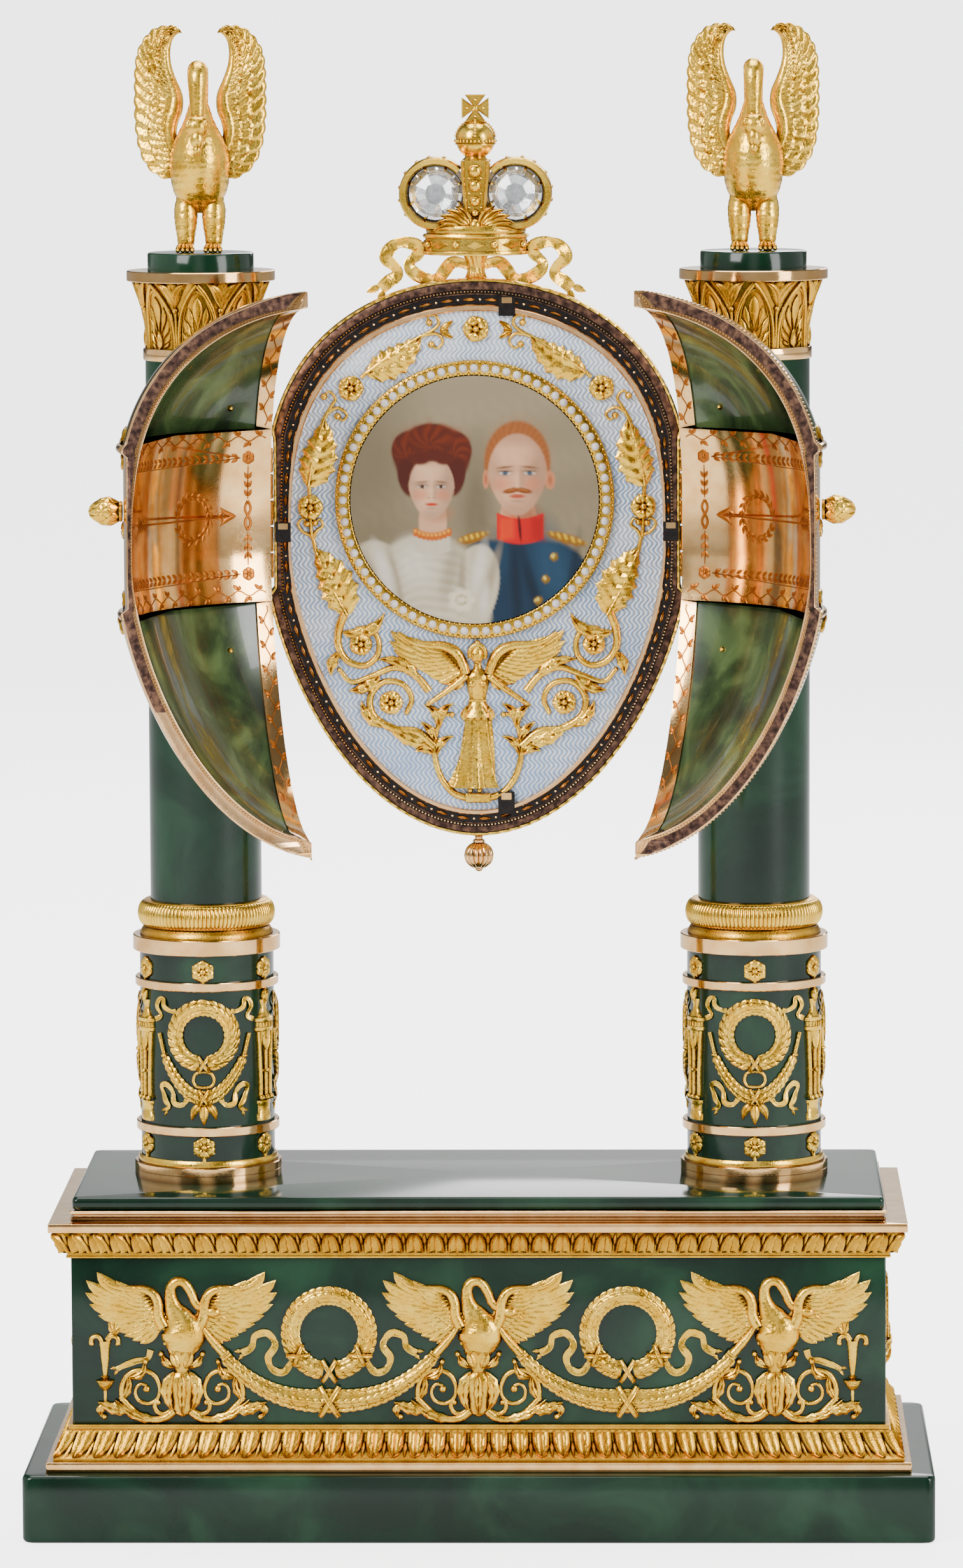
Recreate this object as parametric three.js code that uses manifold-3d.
// A jewelled egg with its stand: a nephrite egg with two hinged doors in front, a crown on top,
// hung between two nephrite columns with swans, on a long plinth with gold ornaments.
// Millimetres, +Z up, -Y is the front. The origin is the centre of the stand's underside.
// The doors are built shut and turned open about their hinges.
import * as THREE from 'three';
import { mergeVertices } from 'three/addons/utils/BufferGeometryUtils.js';
import Module from 'manifold-3d';

const wasm = await Module();
wasm.setup();

// Driving dimensions of the stand.
const GAP = 0.3;
const FOOT_HALF_WIDTH = 88;
const FOOT_HALF_DEPTH = 37.3;
const FOOT_TOP = 13.3;
const FOOT_CORNER = 1.6;
const PLINTH_HALF_WIDTH = 78.6;
const PLINTH_HALF_DEPTH = 29.5;
const PLINTH_BOTTOM = 22;
const PLINTH_TOP = 54.7;
const CORNICE_TOP = 61.8;
const TABLE_TOP = 66.3;

// Driving dimensions of the columns, which stand on the table.
const COLUMN_X = 53.6;
const COLUMN_SIDES = 14;
const SHAFT_RADIUS = 10.9;
const DRUM_RADIUS = 13.1;
const DRUM_RING_RADIUS = 14;
const PEDESTAL_RING_RADIUS = 14.4;
const PEDESTAL_TOP = 114.1;
const TORUS_TOP = 121;
const CAPITAL_BOTTOM = 226.4;
const CAPITAL_TOP = 241.7;
const ABACUS_TOP = 243.75;
const COLUMN_TOP = 247.2;

// Driving dimensions of the egg.
const EGG_RADIUS = 41.2;
const EGG_TOP = 242;
const EGG_BOTTOM = 134.3;
const EQUATOR = 190;
const UPPER_POWER = 3;
const LOWER_POWER = 1.6;
const EGG_SIDES = 20;
const BAND_RADIUS = 39;
const BAND_LOW = 182;
const BAND_HIGH = 212;
const RIDGE_RADIUS = 40.4;
const RIDGE_WIDTH = 1.4;
const OPENING_PLANE = -10;
const EGG_Y = -5.8;
const RING_THICKNESS = 3;
const ENAMEL_HALF_WIDTH = 36;
const ENAMEL_TOP = 236.1;
const ENAMEL_BOTTOM = 139.2;
const ENAMEL_FACE = -9.1;
const PICTURE_X = 0.6;
const PICTURE_Z = 199.6;
const PICTURE_RADIUS = 24;
const PEARL_RING_OUTER = 27;

// Driving dimensions of the doors.
const DOOR_THICKNESS = 3.2;
const PANEL_INSET = 0.4;
const DOOR_OPEN = THREE.MathUtils.degToRad(76);
const HINGE_X = 40.4;
const KNUCKLE_RADIUS = 1.1;
const KNUCKLE_LENGTH = 4.8;
const HINGE_LOW = 184.6;
const KNUCKLE_COUNT = 5;
const FRAME_STRIP = 3.2;
const MEETING_GAP = 0.4;
const BUD_ANGLE = THREE.MathUtils.degToRad(14);
const BUD_Z = 200.5;

// Colours, roughness and metalness.
const nephrite = material(0x1f4030, 0.25, 0);
const paleNephrite = material(0x4f6b3f, 0.3, 0);
const yellowGold = material(0xd9a63a, 0.3, 1);
const roseGold = material(0xd9a98a, 0.2, 1);
const darkGold = material(0x4a3a33, 0.45, 0.8);
const blueEnamel = material(0xb4c6dc, 0.2, 0);
const painting = material(0x9a8b7c, 0.6, 0);
const pearl = material(0xf0ece4, 0.25, 0);
const diamond = material(0xf4f7fa, 0.05, 0);

const object = new THREE.Group();

function material(color, roughness, metalness) {
  return new THREE.MeshStandardMaterial({ color, roughness, metalness });
}

function add(parent, name, geometry, finish) {
  const mesh = new THREE.Mesh(geometry, finish);
  mesh.name = name;
  parent.add(mesh);
  return mesh;
}

// Solids and booleans.
function toSolid(geometry) {
  const bare = geometry.clone();
  bare.deleteAttribute('normal');
  bare.deleteAttribute('uv');
  const merged = mergeVertices(bare, 1e-4);
  const corners = merged.index.array;
  const kept = [];
  for (let i = 0; i < corners.length; i += 3) {
    const [a, b, c] = [corners[i], corners[i + 1], corners[i + 2]];
    if (a !== b && b !== c && c !== a) kept.push(a, b, c);
  }
  const mesh = new wasm.Mesh({
    numProp: 3,
    vertProperties: new Float32Array(merged.attributes.position.array),
    triVerts: new Uint32Array(kept),
  });
  return new wasm.Manifold(mesh);
}

function toGeometry(solid) {
  const mesh = solid.getMesh();
  const geometry = new THREE.BufferGeometry();
  geometry.setAttribute('position', new THREE.BufferAttribute(mesh.vertProperties, 3));
  geometry.setIndex(new THREE.BufferAttribute(mesh.triVerts, 1));
  geometry.computeVertexNormals();
  return geometry;
}

function join(...geometries) {
  return toGeometry(geometries.map(toSolid).reduce((whole, next) => whole.add(next)));
}

function cut(geometry, ...tools) {
  return toGeometry(tools.map(toSolid).reduce((rest, tool) => rest.subtract(tool), toSolid(geometry)));
}

function common(first, second) {
  return toGeometry(toSolid(first).intersect(toSolid(second)));
}

// Basic forms, all with +Z up.
function at(geometry, x, y, z) {
  return geometry.translate(x, y, z);
}

function block(x0, x1, y0, y1, z0, z1) {
  const box = new THREE.BoxGeometry(x1 - x0, y1 - y0, z1 - z0);
  return at(box, (x0 + x1) / 2, (y0 + y1) / 2, (z0 + z1) / 2);
}

function turned(profile, sides = COLUMN_SIDES) {
  const points = profile.map(([radius, z]) => new THREE.Vector2(radius, z));
  return new THREE.LatheGeometry(points, sides).rotateX(Math.PI / 2);
}

function ringAround(inner, outer, low, high, sides = COLUMN_SIDES) {
  return turned([[inner, low], [outer, low], [outer, high], [inner, high], [inner, low]], sides);
}

function disc(radius, low, high, sides = COLUMN_SIDES) {
  return turned([[0, low], [radius, low], [radius, high], [0, high]], sides);
}

function ball(radii, centre, across = 8, up = 6) {
  return at(new THREE.SphereGeometry(1, across, up).scale(...radii), ...centre);
}

// A flat shape drawn in X and Z, with its front face at the given Y and its back behind it.
function plate(shape, front, thickness) {
  const options = { depth: thickness, bevelEnabled: false, curveSegments: 4 };
  return new THREE.ExtrudeGeometry(shape, options).rotateX(Math.PI / 2).translate(0, front + thickness, 0);
}

function outline(points) {
  return new THREE.Shape(points.map(([x, z]) => new THREE.Vector2(x, z)));
}

// A rod along a curve, with a round or flattened section.
function rod(points, radius, steps = 8, sides = 6, flat = 1) {
  const section = new THREE.Shape();
  for (let i = 0; i < sides; i += 1) {
    const angle = (i + 0.5) * 2 * Math.PI / sides;
    const [x, y] = [radius * Math.cos(angle), radius * flat * Math.sin(angle)];
    if (i === 0) section.moveTo(x, y);
    else section.lineTo(x, y);
  }
  const path = new THREE.CatmullRomCurve3(points.map((point) => new THREE.Vector3(...point)));
  return new THREE.ExtrudeGeometry(section, { steps, extrudePath: path, bevelEnabled: false });
}

// Rectangular stand layers: each level is [half width, half depth, height].
function stackedBlock(levels, corner = 0) {
  const positions = [];
  const faces = [];
  const count = corner > 0 ? 8 : 4;
  for (const [width, depth, z] of levels) {
    for (const [sx, sy] of [[-1, -1], [1, -1], [1, 1], [-1, 1]]) {
      if (corner > 0) {
        const alongX = sx * sy < 0;
        const inX = [sx * (width - corner), sy * depth, z];
        const inY = [sx * width, sy * (depth - corner), z];
        positions.push(...(alongX ? [...inX, ...inY] : [...inY, ...inX]));
      } else {
        positions.push(sx * width, sy * depth, z);
      }
    }
  }
  for (let level = 0; level + 1 < levels.length; level += 1) {
    for (let i = 0; i < count; i += 1) {
      const a = level * count + i;
      const b = level * count + (i + 1) % count;
      faces.push(a, b, b + count, a, b + count, a + count);
    }
  }
  const top = (levels.length - 1) * count;
  for (let i = 1; i + 1 < count; i += 1) {
    faces.push(0, i + 1, i, top, top + i, top + i + 1);
  }
  const geometry = new THREE.BufferGeometry();
  geometry.setAttribute('position', new THREE.BufferAttribute(new Float32Array(positions), 3));
  geometry.setIndex(faces);
  return geometry;
}

// The stand's layers from the foot up, each wider or narrower than the plinth by a ledge.
function ledges(rows) {
  return stackedBlock(rows.map(([out, z]) => [PLINTH_HALF_WIDTH + out, PLINTH_HALF_DEPTH + out, z]));
}

function buildStand() {
  const slab = [[FOOT_HALF_WIDTH, FOOT_HALF_DEPTH, 0], [FOOT_HALF_WIDTH, FOOT_HALF_DEPTH, FOOT_TOP]];
  add(object, 'foot_slab', stackedBlock(slab, FOOT_CORNER), nephrite);
  add(object, 'foot_fillet', ledges([[4.9, FOOT_TOP], [4.9, 15.3]]), roseGold);
  const lowerLeaves = [[3.7, 15.3], [3.5, 16.4], [1.9, 18], [1, 20.6], [0.7, 20.6], [0.7, PLINTH_BOTTOM]];
  add(object, 'lower_leaf_moulding', ledges(lowerLeaves), yellowGold);
  add(object, 'plinth_block', ledges([[0, PLINTH_BOTTOM], [0, PLINTH_TOP]]), nephrite);
  const upperLeaves = [[0.7, PLINTH_TOP], [0.7, 55.6], [1.8, 55.9], [2.4, 57], [2.8, 58.8], [3.5, 60.1]];
  add(object, 'upper_leaf_moulding', ledges(upperLeaves), yellowGold);
  add(object, 'cornice_plate', ledges([[4.1, 60.1], [4.1, CORNICE_TOP]]), roseGold);
  const steps = [[0, CORNICE_TOP], [0, 62.5], [-0.5, 62.5], [-0.5, 63], [0.2, 63], [0.2, 63.7]];
  add(object, 'table_fillet', ledges(steps), roseGold);
  const table = [[-0.3, 63.7], [-0.3, TABLE_TOP]];
  add(object, 'table_slab', ledges(table), nephrite);
}

// Gold mounts on the plinth's front.
const FRONT = -PLINTH_HALF_DEPTH - GAP;
const SWAN_PITCH = 57.3;
const WREATH_X = 28.8;
const WREATH_Z = 39.8;

function leafShape(length, width) {
  const shape = new THREE.Shape();
  shape.moveTo(0, 0);
  shape.quadraticCurveTo(width, length * 0.4, 0, length);
  shape.quadraticCurveTo(-width, length * 0.4, 0, 0);
  return shape;
}

function leaf(x, z, angle, length, width, front, thickness) {
  return at(plate(leafShape(length, width), front, thickness).rotateY(angle), x, 0, z);
}

function reliefSwan(x, name) {
  const parts = [];
  const wing = [[1, 42], [3.5, 45.6], [6, 46.6], [7.2, 49.4], [14.5, 49.3], [16.2, 52.2], [17.2, 50.4],
    [16, 47.5], [12.4, 43.6], [8.6, 39.2], [5, 36.4]];
  for (const side of [-1, 1]) {
    const points = wing.map(([u, z]) => [x + side * u, z]);
    parts.push(plate(outline(side > 0 ? points : points.reverse()), FRONT - 1.2, 1.2));
    const scroll = [[0.8, 25.4], [6, 24], [10.5, 25.4], [16.2, 27]];
    parts.push(rod(scroll.map(([u, z]) => [x + side * u, FRONT - 0.6, z]), 1.3, 4, 4));
  }
  parts.push(ball([4.6, 2.1, 6], [x, FRONT, 41], 8, 5));
  const neck = [[-2.6, 44], [-1.8, 48.4], [0.6, 50.4], [2.8, 47.6], [5.2, 45.4]];
  parts.push(rod(neck.map(([u, z]) => [x + u, FRONT - 1, z]), 1.3, 7, 4));
  parts.push(ball([2.3, 1.2, 1.3], [x + 6, FRONT - 1.2, 45.2], 6, 4));
  const tail = [[0, 23.4], [2.2, 24], [2, 31], [3.1, 36.2], [0, 36.4]];
  parts.push(at(turned(tail, 6).scale(1, 0.6, 1), x, FRONT - 0.2, 0));
  const solid = common(join(...parts), block(-90, 90, FRONT - 6, FRONT, 0, 70));
  add(object, name, solid, yellowGold);
}

function reliefWreath(x, name) {
  const wreath = new THREE.TorusGeometry(7.4, 1.8, 6, 16).rotateX(Math.PI / 2).translate(x, FRONT, WREATH_Z);
  const front = block(-90, 90, FRONT - 6, FRONT, 0, 70);
  add(object, name, common(wreath, front), yellowGold);
}

function reliefFestoon(x, name) {
  const points = [];
  const [half, top, sag] = [17.4, 35.4, 8.8];
  for (let i = 0; i <= 8; i += 1) {
    const u = i / 4 - 1;
    points.push([x + u * half, FRONT, top - sag * (1 - u * u)]);
  }
  const front = block(-90, 90, FRONT - 6, FRONT, 0, 70);
  add(object, name, common(rod(points, 2, 10, 6), front), yellowGold);
}

function buildPlinthMounts() {
  for (const [x, side] of [[-SWAN_PITCH, 'left'], [0, 'middle'], [SWAN_PITCH, 'right']]) {
    reliefSwan(x, `plinth_swan_${side}`);
  }
  for (const [x, side] of [[-WREATH_X, 'left'], [WREATH_X, 'right']]) {
    reliefWreath(x, `plinth_wreath_${side}`);
    reliefFestoon(x, `plinth_festoon_${side}`);
  }
}

// A capital whose bell is fluted into lancet leaves.
function capitalBell() {
  const leaves = 8;
  const steps = 2 * leaves;
  const neckRing = [[0, CAPITAL_BOTTOM], [11.3, CAPITAL_BOTTOM], [11.3, 228.7]];
  const flare = [[10.7, 228.7], [10.9, 233], [11.8, 238], [13, CAPITAL_TOP], [0, CAPITAL_TOP]];
  const bell = turned([...neckRing, ...flare], steps);
  const position = bell.attributes.position;
  for (let i = 0; i < position.count; i += 1) {
    const [x, y, z] = [position.getX(i), position.getY(i), position.getZ(i)];
    const inBell = z > 229 && z < CAPITAL_TOP - 0.1;
    const groove = inBell ? 1 - 0.035 * (1 - Math.cos(leaves * Math.atan2(y, x))) : 1;
    position.setXYZ(i, x * groove, y * groove, z);
  }
  return bell;
}

function gadroonedTorus() {
  const lobes = 16;
  const profile = [[0, PEDESTAL_TOP], [12.8, PEDESTAL_TOP], [12.8, 115.6], [13.2, 116.6], [13.4, 118.3]];
  profile.push([12.7, 120.2], [11.6, 120.4], [11.6, TORUS_TOP], [0, TORUS_TOP]);
  return turned(profile, lobes);
}

// A swan standing with its wings raised, its neck bent down in front. It stands on z = 0.
function standingSwan() {
  const parts = [];
  parts.push(ball([6.1, 7.4, 6.5], [0, 0.6, 15.8], 8, 6));
  parts.push(ball([3.6, 5.4, 3.2], [0, 7, 14.6], 6, 4));
  const neck = [[-3.4, 18.5], [-1.8, 24], [-1.4, 30], [-2.4, 34.4], [-4.8, 35.2], [-6.4, 31], [-6.8, 26]];
  parts.push(rod(neck.map(([y, z]) => [0, y, z]), 1.95, 8, 5));
  parts.push(ball([2.2, 1.9, 2.6], [0, -7.2, 24.6], 6, 4));
  parts.push(ball([1.1, 1, 2.2], [0, -8, 21.8], 4, 3));
  const innerEdge = [[4.6, 21], [5.6, 24], [4.1, 27.8], [4.2, 31], [5.6, 34], [5.8, 38.6], [4, 42.4]];
  const outerEdge = [[5, 44.2], [7.4, 43.9], [10, 42], [11.8, 38.6], [12.8, 33], [12.8, 22], [11.6, 17.2]];
  const wing = [...innerEdge, ...outerEdge, [8.6, 14.4], [5, 13.6]];
  for (const side of [-1, 1]) {
    const points = wing.map(([u, z]) => [side * u, z]);
    const blade = plate(outline(side > 0 ? points.reverse() : points), -1.2, 2.6);
    parts.push(blade.rotateX(-0.12));
    parts.push(at(turned([[0, 1], [1.3, 1], [2.7, 7], [2.4, 11], [0, 12]], 6), side * 2.7, -1.6, 0));
    const foot = [[-1.6, 0.6], [-2.4, -4.6], [0, -5], [2.4, -4.6], [1.6, 0.6]];
    const web = new THREE.ExtrudeGeometry(outline(foot), { depth: 1.4, bevelEnabled: false });
    parts.push(at(web, side * 2.7, -1, 0));
  }
  return join(...parts);
}

function buildColumn(side, label) {
  const column = new THREE.Group();
  column.position.set(side * COLUMN_X, 0, 0);
  object.add(column);
  const piece = (name, geometry, finish) => add(column, `${name}_${label}`, geometry, finish);
  const base = [[0, TABLE_TOP], [PEDESTAL_RING_RADIUS, TABLE_TOP], [PEDESTAL_RING_RADIUS, 69.4], [13.6, 69.4]];
  piece('pedestal_base', turned([...base, [13.6, 70.7], [0, 70.7]]), roseGold);
  piece('pedestal_drum', disc(DRUM_RADIUS, 70.7, 111.1), nephrite);
  piece('lower_drum_ring', ringAround(DRUM_RADIUS + GAP, DRUM_RING_RADIUS, 75.6, 77.4), roseGold);
  piece('upper_drum_ring', ringAround(DRUM_RADIUS + GAP, DRUM_RING_RADIUS, 104.1, 105.8), roseGold);
  piece('pedestal_collar', disc(PEDESTAL_RING_RADIUS, 111.1, PEDESTAL_TOP), roseGold);
  piece('gadrooned_base', gadroonedTorus(), yellowGold);
  piece('shaft', disc(SHAFT_RADIUS, TORUS_TOP, CAPITAL_BOTTOM), nephrite);
  piece('capital', capitalBell(), yellowGold);
  piece('abacus', disc(PEDESTAL_RING_RADIUS, CAPITAL_TOP, ABACUS_TOP), roseGold);
  piece('swan_plinth', disc(10.3, ABACUS_TOP, COLUMN_TOP), nephrite);
  piece('swan', at(standingSwan(), 0, 0, COLUMN_TOP), yellowGold);
}

// The egg's outer form.
function eggRadius(z, widest, top, bottom) {
  const upper = z > EQUATOR;
  const reach = upper ? (z - EQUATOR) / (top - EQUATOR) : (EQUATOR - z) / (EQUATOR - bottom);
  const power = upper ? UPPER_POWER : LOWER_POWER;
  return widest * Math.sqrt(Math.max(0, 1 - Math.min(1, reach) ** power));
}

function eggProfile(widest, top, bottom, steps) {
  const profile = [];
  const middle = (top + bottom) / 2;
  for (let i = 0; i <= steps; i += 1) {
    const z = middle - (top - bottom) / 2 * Math.cos(Math.PI * i / steps);
    const onAxis = i === 0 || i === steps;
    profile.push([onAxis ? 0 : eggRadius(z, widest, top, bottom), z]);
  }
  return profile;
}

function bandedProfile() {
  const whole = eggProfile(EGG_RADIUS, EGG_TOP, EGG_BOTTOM, 16);
  const below = whole.filter(([, z]) => z < BAND_LOW - RIDGE_WIDTH - 1);
  const above = whole.filter(([, z]) => z > BAND_HIGH + RIDGE_WIDTH + 1);
  const middle = [];
  for (const [edge, away] of [[BAND_LOW, -1], [BAND_HIGH, 1]]) {
    const foot = edge + away * RIDGE_WIDTH;
    const ridge = [[eggRadius(foot, EGG_RADIUS, EGG_TOP, EGG_BOTTOM) - 0.4, foot],
      [RIDGE_RADIUS, edge + away * RIDGE_WIDTH * 0.6], [BAND_RADIUS, edge]];
    middle.push(...(away < 0 ? ridge : ridge.reverse()));
  }
  return [...below, ...middle, ...above];
}

function eggOutline(widest, top, bottom, steps) {
  const right = eggProfile(widest, top, bottom, steps);
  const left = right.slice(1, -1).reverse().map(([x, z]) => [-x, z]);
  return [...right, ...left];
}

function enamelOutline(margin) {
  return eggOutline(ENAMEL_HALF_WIDTH + margin, ENAMEL_TOP + margin, ENAMEL_BOTTOM - margin, 12);
}

function eggSolid() {
  return at(turned(bandedProfile(), EGG_SIDES), 0, EGG_Y, 0);
}

function knuckle(side, index) {
  const low = HINGE_LOW + index * (KNUCKLE_LENGTH + GAP);
  return at(disc(KNUCKLE_RADIUS, low, low + KNUCKLE_LENGTH, 8), side * HINGE_X, OPENING_PLANE, 0);
}

function hingeLeaf(side, index, near, far) {
  const low = HINGE_LOW + index * (KNUCKLE_LENGTH + GAP);
  const [outer, inner] = [HINGE_X, BAND_RADIUS - 1.6];
  const [x0, x1] = side > 0 ? [inner, outer] : [-outer, -inner];
  return block(x0, x1, OPENING_PLANE + near, OPENING_PLANE + far, low, low + KNUCKLE_LENGTH);
}

function buildEgg() {
  const back = block(-60, 60, OPENING_PLANE + RING_THICKNESS + 2 * GAP, 60, 100, 260);
  add(object, 'egg_body', common(eggSolid(), back), nephrite);

  const slice = block(-60, 60, OPENING_PLANE + GAP, OPENING_PLANE + GAP + RING_THICKNESS, 100, 260);
  const opening = plate(outline(enamelOutline(GAP)), OPENING_PLANE - 1, RING_THICKNESS + 3);
  const hinges = [];
  for (const side of [-1, 1]) {
    for (let index = 0; index < KNUCKLE_COUNT; index += 2) {
      hinges.push(knuckle(side, index), hingeLeaf(side, index, GAP, GAP + 0.8));
    }
  }
  const ring = join(cut(common(eggSolid(), slice), opening), ...hinges);
  add(object, 'egg_rim', ring, darkGold);

  const back0 = OPENING_PLANE + RING_THICKNESS + GAP;
  add(object, 'enamel_panel', plate(outline(enamelOutline(0)), ENAMEL_FACE, back0 - ENAMEL_FACE), blueEnamel);

  const flat = (geometry) => geometry.rotateX(Math.PI / 2);
  const face = ENAMEL_FACE - GAP;
  const picture = disc(PICTURE_RADIUS, -0.8, 0, 28);
  add(object, 'miniature', at(flat(picture), PICTURE_X, face - 0.8, PICTURE_Z), painting);
  const pearls = ringAround(PICTURE_RADIUS + GAP, PEARL_RING_OUTER, -1.6, 0, 28);
  add(object, 'pearl_ring', at(flat(pearls), PICTURE_X, face - 1.6, PICTURE_Z), pearl);
}

// Gold relief on the enamel: a garland up each side and a winged figure with scrolls below.
function buildEnamelMounts() {
  const face = ENAMEL_FACE - GAP;
  for (const [side, label] of [[-1, 'left'], [1, 'right']]) {
    const along = (turn) => {
      const angle = turn * Math.PI;
      return [side * 32.4 * Math.cos(angle), 198 + 34.4 * Math.sin(angle)];
    };
    const stem = [0.44, 0.3, 0.1, -0.06, -0.22].map(along).map(([x, z]) => [x, face - 0.5, z]);
    const parts = [rod(stem, 0.7, 6, 4)];
    for (const turn of [0.29, 0.05, -0.19]) {
      const [x, z] = along(turn);
      parts.push(leaf(x, z, -side * (turn + 0.04) * Math.PI, 11, 6, face - 1, 1));
    }
    for (const turn of [0.25, 0.01]) {
      const [x, z] = along(turn);
      parts.push(ball([2.6, 1.2, 2.6], [x, face - 0.4, z], 6, 4));
    }
    const front = block(-40, 40, face - 4, face, 100, 250);
    add(object, `garland_${label}`, common(join(...parts), front), yellowGold);
  }

  const figure = [];
  const skirt = turned([[0, 142], [3.6, 142], [3, 148], [2, 158], [0, 158.4]], 6).scale(1, 0.5, 1);
  const torso = turned([[0, 157], [3, 157], [2.2, 161.5], [2.6, 165.4], [1, 167.6], [0, 169]], 6);
  figure.push(at(skirt, 0, face, 0), at(torso.scale(1, 0.55, 1), 0, face, 0));
  figure.push(ball([1.5, 1.3, 2.2], [0, face - 0.4, 169.4], 6, 5));
  for (const side of [-1, 1]) {
    const wing = [[1, 163], [4.4, 168.6], [6.6, 170.4], [14, 173.6], [16, 170.4], [11, 166.4], [6, 163.6]];
    const points = wing.map(([u, z]) => [side * u, z]);
    figure.push(plate(outline(side > 0 ? points : points.reverse()), face - 0.9, 0.9));
    const arm = [[2, 165.2], [5.6, 162.6], [9, 160.6]].map(([u, z]) => [side * u, face - 0.9, z]);
    figure.push(rod(arm, 0.7, 3, 4));
    const scrolls = [
      [[1, 142.2], [5.6, 146.4], [8.2, 153], [9, 160.4]],
      [[8.4, 153.6], [15, 155.4], [19, 160.4], [14.6, 164], [12.4, 160.4]],
      [[8.6, 161.4], [16, 166], [22, 166], [25.6, 170.6], [21, 175.4], [17.6, 172]],
    ];
    for (const route of scrolls) {
      figure.push(rod(route.map(([u, z]) => [side * u, face - 0.5, z]), 0.8, 4, 4));
    }
  }
  const front = block(-40, 40, face - 4, face, 100, 250);
  add(object, 'winged_figure', common(join(...figure), front), yellowGold);
}

// Crown, ribbon and finial.
const CROWN_BOTTOM = 246.8;
const DIAMOND_X = 7.7;
const DIAMOND_Z = 258.6;
const DIAMOND_RADIUS = 5.1;
const LOBE_RADIUS = 6.3;

function crownSolid() {
  const parts = [];
  const band = [[0, CROWN_BOTTOM], [9.9, CROWN_BOTTOM], [10.3, 248.8], [9.9, 250.4], [9.8, 252.6], [0, 252.6]];
  parts.push(turned(band, 12).scale(1, 0.72, 1));
  for (const side of [-1, 1]) {
    const lobe = [];
    for (let turn = -75; turn <= 120; turn += 39) {
      const angle = THREE.MathUtils.degToRad(turn);
      const x = side * (DIAMOND_X + LOBE_RADIUS * Math.cos(angle));
      lobe.push([x, 0, DIAMOND_Z + LOBE_RADIUS * Math.sin(angle)]);
    }
    parts.push(rod(lobe, 0.8, 7, 4, 1.7));
  }
  const arch = [[-1.4, 250.6], [1.4, 250.6], [2.2, 265.8], [-2.2, 265.8]];
  parts.push(plate(outline(arch), -4.4, 8.8));
  parts.push(ball([3.8, 3.8, 3.8], [0, 0, 268.9], 8, 6));
  const cross = [[-1.8, 272.2], [1.8, 272.2], [0.5, 274.4], [2.4, 273.2], [2.4, 276.6], [0.5, 275.4], [1.8, 277.6],
    [-1.8, 277.6], [-0.5, 275.4], [-2.4, 276.6], [-2.4, 273.2], [-0.5, 274.4]];
  parts.push(plate(outline(cross), -0.6, 1.2));
  return join(...parts);
}

// A round brilliant: a flat table, a crown of facets and a pointed pavilion, facing forward.
function brilliant(radius) {
  const profile = [[0, -0.86 * radius], [radius, -0.06 * radius], [radius, 0], [0.56 * radius, 0.32 * radius]];
  return turned([...profile, [0, 0.32 * radius]], 12).rotateX(Math.PI / 2);
}

function ribbonSolid() {
  const half = [[1, 245.6], [4.6, 246.2], [6.4, 243.2], [8.6, 243], [10.6, 246.6], [13.4, 249.6]];
  half.push([16.4, 246.4], [13.2, 243.6], [17.6, 240.8]);
  const sides = [-1, 1].map((side) => rod(half.map(([u, z]) => [side * u, 0, z]), 1, 11, 4, 0.6));
  const knot = turned([[0, EGG_TOP + GAP], [2.2, EGG_TOP + GAP], [1.8, 244.4], [2.2, 246.5], [0, 246.5]], 8);
  return join(knot, ...sides);
}

function buildCrown() {
  add(object, 'crown', at(crownSolid(), 0, EGG_Y, 0), yellowGold);
  for (const [side, label] of [[-1, 'left'], [1, 'right']]) {
    add(object, `diamond_${label}`, at(brilliant(DIAMOND_RADIUS), side * DIAMOND_X, EGG_Y, DIAMOND_Z), diamond);
  }
  add(object, 'ribbon', at(ribbonSolid(), 0, EGG_Y, 0), yellowGold);
  const stemTop = EGG_BOTTOM - GAP;
  const melon = [[0, 127], [1.6, 127.4], [2.8, 129.9], [1.8, 132.2], [0.7, 132.7], [0.7, stemTop], [0, stemTop]];
  add(object, 'finial', at(turned(melon, 10), 0, EGG_Y, 0), roseGold);
}

// Short arms that carry the egg between the shafts, behind the hinges.
function buildArms() {
  for (const [side, label] of [[-1, 'left'], [1, 'right']]) {
    const [inner, outer] = [38.9 + GAP, COLUMN_X - SHAFT_RADIUS - GAP];
    const arm = new THREE.CylinderGeometry(2.2, 2.2, outer - inner, 10).rotateZ(Math.PI / 2);
    add(object, `arm_${label}`, at(arm, side * (inner + outer) / 2, 0, (BAND_LOW + BAND_HIGH) / 2), roseGold);
  }
}

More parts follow.
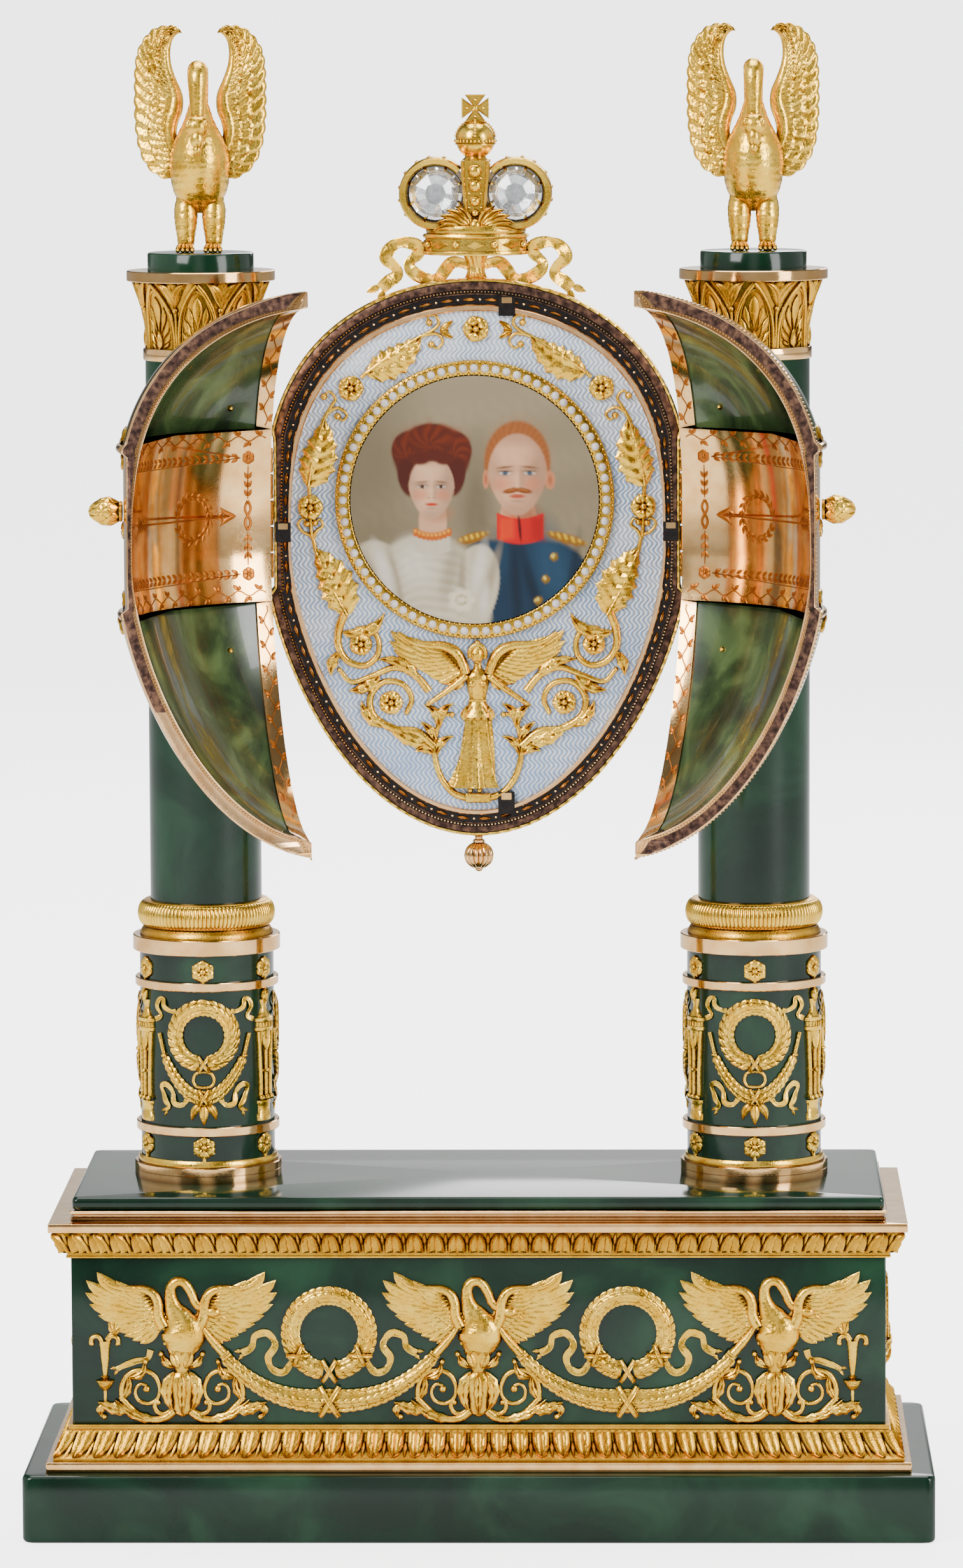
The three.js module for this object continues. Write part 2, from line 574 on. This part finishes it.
// One door: a gold frame cut from a quarter of the egg's shell, and two nephrite panels in it.
function buildDoor(side, label) {
  const door = new THREE.Group();
  door.position.set(side * HINGE_X, OPENING_PLANE, 0);
  door.rotation.z = side * DOOR_OPEN;
  object.add(door);
  const piece = (name, geometry, finish) => {
    add(door, `door_${name}_${label}`, at(geometry, -side * HINGE_X, -OPENING_PLANE, 0), finish);
  };
  const region = (meeting, setBack, low, high) => {
    const [x0, x1] = side > 0 ? [meeting, 60] : [-60, -meeting];
    return block(x0, x1, -60, OPENING_PLANE - setBack, low, high);
  };
  const inset = (depth, steps) => {
    const inner = eggProfile(EGG_RADIUS - depth, EGG_TOP - depth, EGG_BOTTOM + depth, steps);
    return at(turned(inner, EGG_SIDES), 0, EGG_Y, 0);
  };
  const shell = common(cut(eggSolid(), inset(DOOR_THICKNESS, 10)), region(MEETING_GAP, 0, 100, 260));
  const windows = [[BAND_HIGH + FRAME_STRIP, 260], [100, BAND_LOW - FRAME_STRIP]];
  const holes = windows.map(([low, high]) => region(FRAME_STRIP, FRAME_STRIP, low, high));
  const knuckles = [];
  for (let index = 1; index < KNUCKLE_COUNT; index += 2) {
    knuckles.push(knuckle(side, index), hingeLeaf(side, index, -0.9, -0.1));
  }
  piece('frame', join(cut(shell, ...holes), ...knuckles), roseGold);

  const thin = cut(inset(PANEL_INSET, 14), inset(DOOR_THICKNESS - PANEL_INSET, 10));
  const strip = FRAME_STRIP + GAP;
  piece('upper_panel', common(thin, region(strip, strip, BAND_HIGH + strip, 260)), paleNephrite);
  piece('lower_panel', common(thin, region(strip, strip, 100, BAND_LOW - strip)), paleNephrite);

  const bud = turned([[0, 0], [2, 0], [2.9, 1.6], [2.4, 3.4], [0, 6.4]], 10).rotateX(Math.PI / 2);
  bud.rotateZ(side * BUD_ANGLE);
  const reach = BAND_RADIUS + GAP;
  const [budX, budY] = [side * reach * Math.sin(BUD_ANGLE), EGG_Y - reach * Math.cos(BUD_ANGLE)];
  piece('bud', at(bud, budX, budY, BUD_Z), yellowGold);
}

buildStand();
buildPlinthMounts();
for (const [side, label] of [[-1, 'left'], [1, 'right']]) {
  buildColumn(side, label);
  buildDoor(side, label);
}
buildEgg();
buildEnamelMounts();
buildCrown();
buildArms();

export default object;
